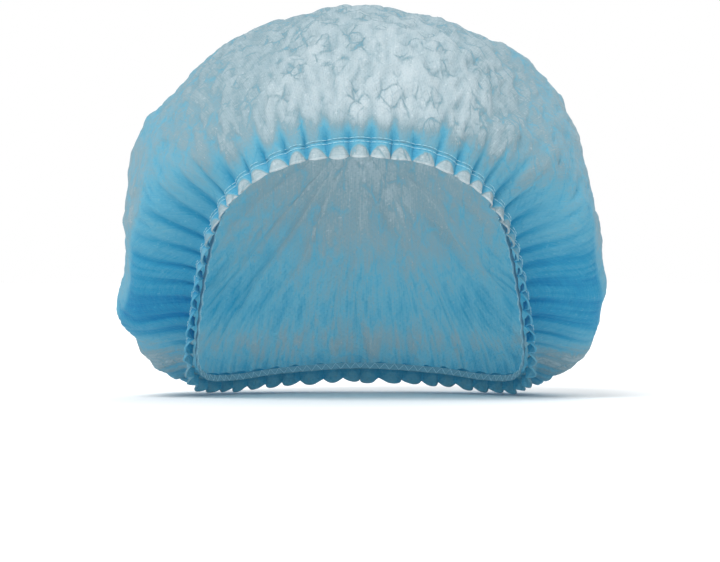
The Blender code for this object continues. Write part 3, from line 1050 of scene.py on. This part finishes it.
def hem_bands(shape, cloth, columns_per_gather=24, rows=14):
    """The ruffle as a loop of rows: down its outer ply, round its edge and up its inner one.

    A point lies off the edge line by its share of the hem's length, flared
    outwards, and out by the gathers' fold, which grows towards the free edge.
    The free edge is a row of arcs. Given back are the points, the depths of the
    colour and the length down the hem.
    """
    count, even, turns = gather_turns(shape, cloth, columns_per_gather)
    points, out, off, hem = edge_frame(shape, len(even))
    fold = gather_fold(turns, count, cloth.seed)
    arc = 1.0 - np.abs(np.cos(math.pi * turns)) ** 0.9
    chance = edge_noise(even * 2.0, count * 2, cloth.seed + CHANCE["hem"])
    lengths = (hem * cloth.hem_length - cloth.scallop_depth * arc) * (1.0 + 0.07 * chance)
    down = np.linspace(0.0, 1.0, rows)
    share = np.concatenate([down, down[::-1]])[:, None]
    side = np.repeat([0.5, -0.5], rows)[:, None]
    fall = share * lengths[None]
    grown = cloth.gather_depth * (1.0 + 0.30 * share) * fold[None]
    branches = pleats(3.0 * turns, 0.8, 0.6)[None]
    grown = grown + HEM_BRANCH_DEPTH * branches * np.sin(math.pi * share) ** 0.7
    plies = side * cloth.ply_gap * (1.0 + 0.8 * bell(share - 0.93, 0.08))
    lift = cloth_offset() + grown + plies + fall * math.sin(cloth.hem_flare)
    straight = fall * math.cos(cloth.hem_flare)
    place = points[None] + off[None] * straight[..., None] + out[None] * lift[..., None]
    lap = np.sin(2.0 * math.pi * turns)[None]
    lean = HEM_LEAN_DEPTH * lap * (0.3 + 0.7 * share) * (0.3 + 0.7 * chance)[None]
    along = unit(np.roll(points, -1, axis=0) - points)
    place = place + along[None] * lean[..., None]
    return place, hem_depths(-points[:, 2], turns, share, side), fall


def hem_depths(below, turns, share, side):
    """The depth of the hem's colour: a deeper band, and a pale arch in each scallop.

    It is deeper in the valleys, partly the stacked plies of the folds and partly
    painted shade in them, deeper low at the sides and on the inner ply, and paler at
    the free edge and along the lowest stretch, the last as painted light coming
    through the lobes from behind.
    """
    # The valleys' extra depth is partly the stacked plies and partly painted shade.
    spike = valley(turns, 0.8)[None]
    border = (1.0 - np.abs(np.cos(math.pi * turns)) ** 0.5)[None]
    arch = ease(share, 0.16 + 1.10 * border, 0.38 + 1.10 * border)
    low = ease(below, *LEVELS["hem low"])[None]
    depth = 0.50 + 0.16 * spike + 0.20 * low - (0.35 + 0.14 * spike) * arch * (1.0 - 0.60 * low)
    depth = depth + (0.06 + 0.12 * low) * (side < 0.0)
    # Paler along the lowest stretch: painted light coming through the lobes from behind.
    depth = depth * (1.0 - 0.35 * ease(below, *LEVELS["hem lowest"]))[None]
    return np.clip(depth - 0.20 * (1.0 - 0.7 * low) * bell(1.0 - share, 0.07), 0.0, 1.0)


def band_ripple(turns):
    """How far the elastic waves in and out, once a gather."""
    return ELASTIC_RIPPLE * np.cos(2.0 * math.pi * turns)


def elastic_band(shape, cloth, steps_per_gather=8, around=28):
    """The elastic: a flat rounded section with ribs, carried along the edge line.

    The section is a superellipse, and its thickness waves five times across its
    width. Given back are the points and the length travelled round the section.
    """
    columns = gather_count(shape) * steps_per_gather
    points, out, off, _ = edge_frame(shape, columns)
    angle = full_turn(around)
    wide, thick = (np.sign(wave) * np.abs(wave) ** 0.45 for wave in (np.cos(angle), np.sin(angle)))
    wide = wide * cloth.elastic_width / 2.0
    rib = 0.86 + 0.14 * np.abs(np.cos(5.0 * math.pi * wide / cloth.elastic_width))
    thick = thick * cloth.elastic_thickness / 2.0 * rib
    ripple = band_ripple(np.arange(columns) / steps_per_gather)
    place = points[:, None] + off[:, None] * wide[None, :, None]
    place = place + out[:, None] * (thick[None] + ripple[:, None])[..., None]
    return place.transpose(1, 0, 2), np.cumsum(np.full((around, columns), SECTION_STEP), axis=0)


def round_thread(centre, out, radius, width, around=6):
    """A round thread along a closed line, and the length travelled round it."""
    side = unit(np.cross(line_direction(centre), out))
    angle = full_turn(around)
    ring = np.cos(angle)[:, None, None] * side[None] + np.sin(angle)[:, None, None] * out[None]
    place = centre[None] + ring * radius[None, :, None]
    return place, np.repeat((angle * width / 2.0)[:, None], len(centre), axis=1)


def stitch_row(shape, cloth, down, steps_per_stitch=10):
    """One row of stitches: a round thread along the gathers' outer side.

    Its radius swells and thins once a stitch, by a power of a sine's size, and
    the thread dips into the cloth where it is thin. A row on the flared hem
    stands further out by a share of its way down.
    """
    count, even, turns = gather_turns(shape, cloth, cloth.stitches_per_gather * steps_per_stitch)
    points, out, off, _ = edge_frame(shape, len(even))
    fold = gather_fold(turns, count, cloth.seed) * cloth.gather_depth
    swell = np.abs(np.sin(math.pi * even * cloth.stitches_per_gather)) ** 0.5
    radius = cloth.thread_width / 2.0 * (0.25 + 0.75 * swell)
    lift = cloth_offset() + fold + cloth.ply_gap / 2.0 + cloth.thread_width * (0.75 * swell - 0.45)
    lift = lift + 0.45 * max(down, 0.0)
    return round_thread(points + off * down + out * lift[:, None], out, radius, cloth.thread_width)


def zigzag_row(shape, cloth, steps_per_stitch=7):
    """The zigzag of thread that holds the elastic, over the elastic's inner side.

    It swings across the band as a triangle wave, and lifts off the band where
    it crosses its middle, by a cosine.
    """
    count = gather_count(shape)
    columns = count * cloth.stitches_per_gather * steps_per_stitch
    points, out, off, _ = edge_frame(shape, columns)
    turns = np.arange(columns) / columns * count
    swing = 2.0 * np.abs(2.0 * (turns * cloth.stitches_per_gather / 2.0 % 1.0) - 1.0) - 1.0
    radius = np.full(columns, cloth.thread_width / 2.0)
    over = radius * (0.1 + 0.9 * np.cos(0.5 * math.pi * swing))
    lift = band_ripple(turns) - cloth.elastic_thickness / 2.0 - over
    centre = points + off * (0.46 * cloth.elastic_width * swing)[:, None] + out * lift[:, None]
    return round_thread(centre, out, radius, cloth.thread_width)


def add_piece(made, material, slot, *nodes):
    """Gives a piece its material, its body and the nodes it stands for. The slot is not used."""
    made.data.materials.append(material)
    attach(made, BODY)
    if nodes:
        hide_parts(*nodes)
    return made


class NURSECAP_OT_crown(bpy.types.Operator):
    """Builds the crown's pleated cloth"""

    bl_idname = "nurse_cap.crown"
    bl_label = "Crown cloth"
    bl_options = {"REGISTER", "UNDO"}

    def execute(self, context):
        shape, cloth = shape_of(), cloth_of()
        crown = CrownCloth(shape, cloth)
        uv = np.concatenate([crown.flat, crown.flat[:, :1]], axis=1)
        made = grid_object(
            "crown_cloth", crown.points, tip=crown.tip, uv=uv, attributes={"depth": crown.depths}
        )
        material = cloth_material("pale cloth", colours_of(), THROUGH_ONE_PLY)
        add_piece(made, material, "pale_cloth", "crown")
        return {"FINISHED"}


class NURSECAP_OT_hem(bpy.types.Operator):
    """Builds the ruffled hem in two plies"""

    bl_idname = "nurse_cap.hem"
    bl_label = "Ruffled hem"
    bl_options = {"REGISTER", "UNDO"}

    def execute(self, context):
        shape, cloth = shape_of(), cloth_of()
        points, depth, fall = hem_bands(shape, cloth)
        fall = np.vstack([-fall, -fall[:1]])
        uv = cloth_map(shape, fall)
        made = grid_object(
            "hem_ruffle", points, closed_rows=True, uv=uv, attributes={"depth": depth}, flip=True
        )
        material = cloth_material("doubled cloth", colours_of(), THROUGH_TWO_PLIES)
        add_piece(made, material, "doubled_cloth", "hem")
        return {"FINISHED"}


class NURSECAP_OT_elastic(bpy.types.Operator):
    """Builds the ribbed elastic inside the gathers"""

    bl_idname = "nurse_cap.elastic"
    bl_label = "Elastic"
    bl_options = {"REGISTER", "UNDO"}

    def execute(self, context):
        shape, cloth = shape_of(), cloth_of()
        points, up = elastic_band(shape, cloth)
        uv = cloth_map(shape, np.vstack([up, up[-1:] + SECTION_STEP]))
        made = grid_object("elastic_band", points, closed_rows=True, uv=uv)
        add_piece(made, elastic_material(colours_of()), "elastic", "elastic")
        return {"FINISHED"}


class NURSECAP_OT_stitches(bpy.types.Operator):
    """Builds the two outer rows of stitches and the zigzag over the elastic"""

    bl_idname = "nurse_cap.stitches"
    bl_label = "Stitch rows"
    bl_options = {"REGISTER", "UNDO"}

    def execute(self, context):
        shape, cloth = shape_of(), cloth_of()
        material = thread_material(colours_of())
        rows = {
            "stitches_upper": stitch_row(shape, cloth, -STITCH_ROW_ASIDE),
            "stitches_lower": stitch_row(shape, cloth, STITCH_ROW_ASIDE),
            "stitches_inner": zigzag_row(shape, cloth),
        }
        for name, (points, up) in rows.items():
            uv = cloth_map(shape, np.vstack([up, up[-1:] * 1.2]))
            add_piece(grid_object(name, points, closed_rows=True, uv=uv), material, "elastic")
        return {"FINISHED"}


class NURSECAP_OT_stage(bpy.types.Operator):
    """Builds the floor, the lights and the camera"""

    bl_idname = "nurse_cap.stage"
    bl_label = "Stage"
    bl_options = {"REGISTER", "UNDO"}

    def execute(self, context):
        stage = context.scene.nurse_cap_stage
        make_floor(stage)
        make_world(context.scene, stage)
        make_sun("key light", stage.key_light, height=48.0, turn=-24.0, softness=24.0)
        make_sun("fill light", stage.fill_light, height=42.0, turn=150.0, softness=60.0)
        make_camera(context.scene, stage)
        return {"FINISHED"}


def make_floor(stage):
    """The round floor: rings of points at growing radii round the cap."""
    radii = np.array([0.15, 0.4, 1.0, 3.0, 10.0, stage.floor_radius])[::-1, None]
    angle = full_turn(96)
    level = CAD_FLOOR - stage.floor_gap
    flat = (radii * np.cos(angle), radii * np.sin(angle))
    points = np.stack([*flat, np.full_like(flat[0], level)], axis=-1)
    floor = grid_object("floor", points, tip=np.array([0.0, 0.0, level]))
    floor.data.materials.append(floor_material(colours_of()))


def make_world(scene, stage):
    """White all round as the camera sees it, and a softer white as light on the cap."""
    weaver = Weaver(bpy.data.worlds.new("studio"))
    seen, light = (
        weaver.add("ShaderNodeBackground", {"Color": WHITE, "Strength": level}).outputs[0]
        for level in (1.0, stage.world_light)
    )
    to_camera = weaver.add("ShaderNodeLightPath").outputs["Is Camera Ray"]
    mixed = weaver.add("ShaderNodeMixShader", {0: to_camera, 1: light, 2: seen}).outputs[0]
    weaver.add("ShaderNodeOutputWorld", {"Surface": mixed})
    scene.world = weaver.owner
    scene.view_settings.view_transform = "Standard"


def make_sun(name, energy, height, turn, softness):
    """A broad soft light from a height and a turn round the cap, in degrees."""
    lamp = bpy.data.lights.new(name, "SUN")
    lamp.energy = energy
    lamp.angle = math.radians(softness)
    made = bpy.data.objects.new(name, lamp)
    bpy.context.scene.collection.objects.link(made)
    made.rotation_euler = (math.pi / 2.0 - math.radians(height), 0.0, math.radians(turn))


def make_camera(scene, stage):
    """The camera in front of the cap, level, looking along +Y."""
    lens = bpy.data.cameras.new("camera")
    lens.lens = stage.lens
    lens.sensor_width = 36.0
    camera = bpy.data.objects.new("camera", lens)
    scene.collection.objects.link(camera)
    camera.location = (stage.camera_side, -stage.camera_distance, stage.camera_height)
    camera.rotation_euler = (math.pi / 2.0, 0.0, 0.0)
    scene.camera = camera


class NURSECAP_PT_panel(bpy.types.Panel):
    """Lists the cap's pieces, sizes and colours"""

    bl_idname = "NURSECAP_PT_panel"
    bl_label = "Nurse Cap"
    bl_space_type = "VIEW_3D"
    bl_region_type = "UI"
    bl_category = "Nurse Cap"

    def draw(self, context):
        layout = self.layout
        for operator in OPERATORS:
            layout.operator(operator.bl_idname)
        for label, group in GROUPS.items():
            box = layout.box()
            box.label(text=label.replace("nurse_cap_", "").capitalize())
            for name in group.__annotations__:
                box.prop(getattr(context.scene, label), name)


OPERATORS = (
    NURSECAP_OT_elastic,
    NURSECAP_OT_crown,
    NURSECAP_OT_hem,
    NURSECAP_OT_stitches,
    NURSECAP_OT_stage,
)
GROUPS = {
    "nurse_cap_shape": NurseCapShape,
    "nurse_cap_cloth": NurseCapCloth,
    "nurse_cap_colours": NurseCapColours,
    "nurse_cap_stage": NurseCapStage,
}


def register():
    """Registers the classes and puts the properties on the scene."""
    for group in GROUPS.values():
        bpy.utils.register_class(group)
    for operator in OPERATORS:
        bpy.utils.register_class(operator)
    bpy.utils.register_class(NURSECAP_PT_panel)
    for name, group in GROUPS.items():
        setattr(bpy.types.Scene, name, PointerProperty(type=group))


def unregister():
    """Takes the properties and the classes away again."""
    for name in GROUPS:
        delattr(bpy.types.Scene, name)
    bpy.utils.unregister_class(NURSECAP_PT_panel)
    for operator in reversed(OPERATORS):
        bpy.utils.unregister_class(operator)
    for group in reversed(list(GROUPS.values())):
        bpy.utils.unregister_class(group)


def main():
    register()
    bpy.ops.nurse_cap.elastic()
    bpy.ops.nurse_cap.crown()
    bpy.ops.nurse_cap.hem()
    bpy.ops.nurse_cap.stitches()
    bpy.ops.nurse_cap.stage()


if __name__ == "__main__":
    main()
